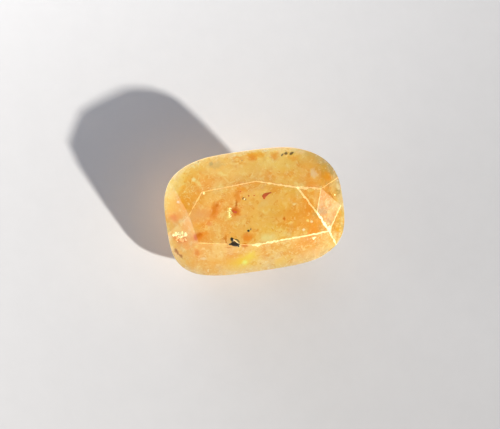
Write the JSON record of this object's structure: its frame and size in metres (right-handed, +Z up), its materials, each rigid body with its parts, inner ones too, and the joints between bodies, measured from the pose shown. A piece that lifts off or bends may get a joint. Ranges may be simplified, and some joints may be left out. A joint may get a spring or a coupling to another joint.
{
  "type": "faceted sapphire",
  "caption": "Cushion-cut yellow sapphire, cloudy and included, with worn crown edges, a tilted table and a broad pavilion facet that it lies on.",
  "frame": {"origin": "middle of the stone's box in plan, on the surface that it rests on", "axes": "+X along the stone, towards the end with the bright kite facet; +Z up, with the stone lying on its broad pavilion facet"},
  "size_m": [0.0122, 0.0078, 0.0067],
  "materials": {
    "polished_corundum": "polished",
    "worn_corundum": "matte",
    "black_mineral": "satin",
    "iron_stain": "matte",
    "milky_feather": "satin"
  },
  "bodies": {
    "root": {"sapphire": "polished_corundum"}
  },
  "joints": []
}
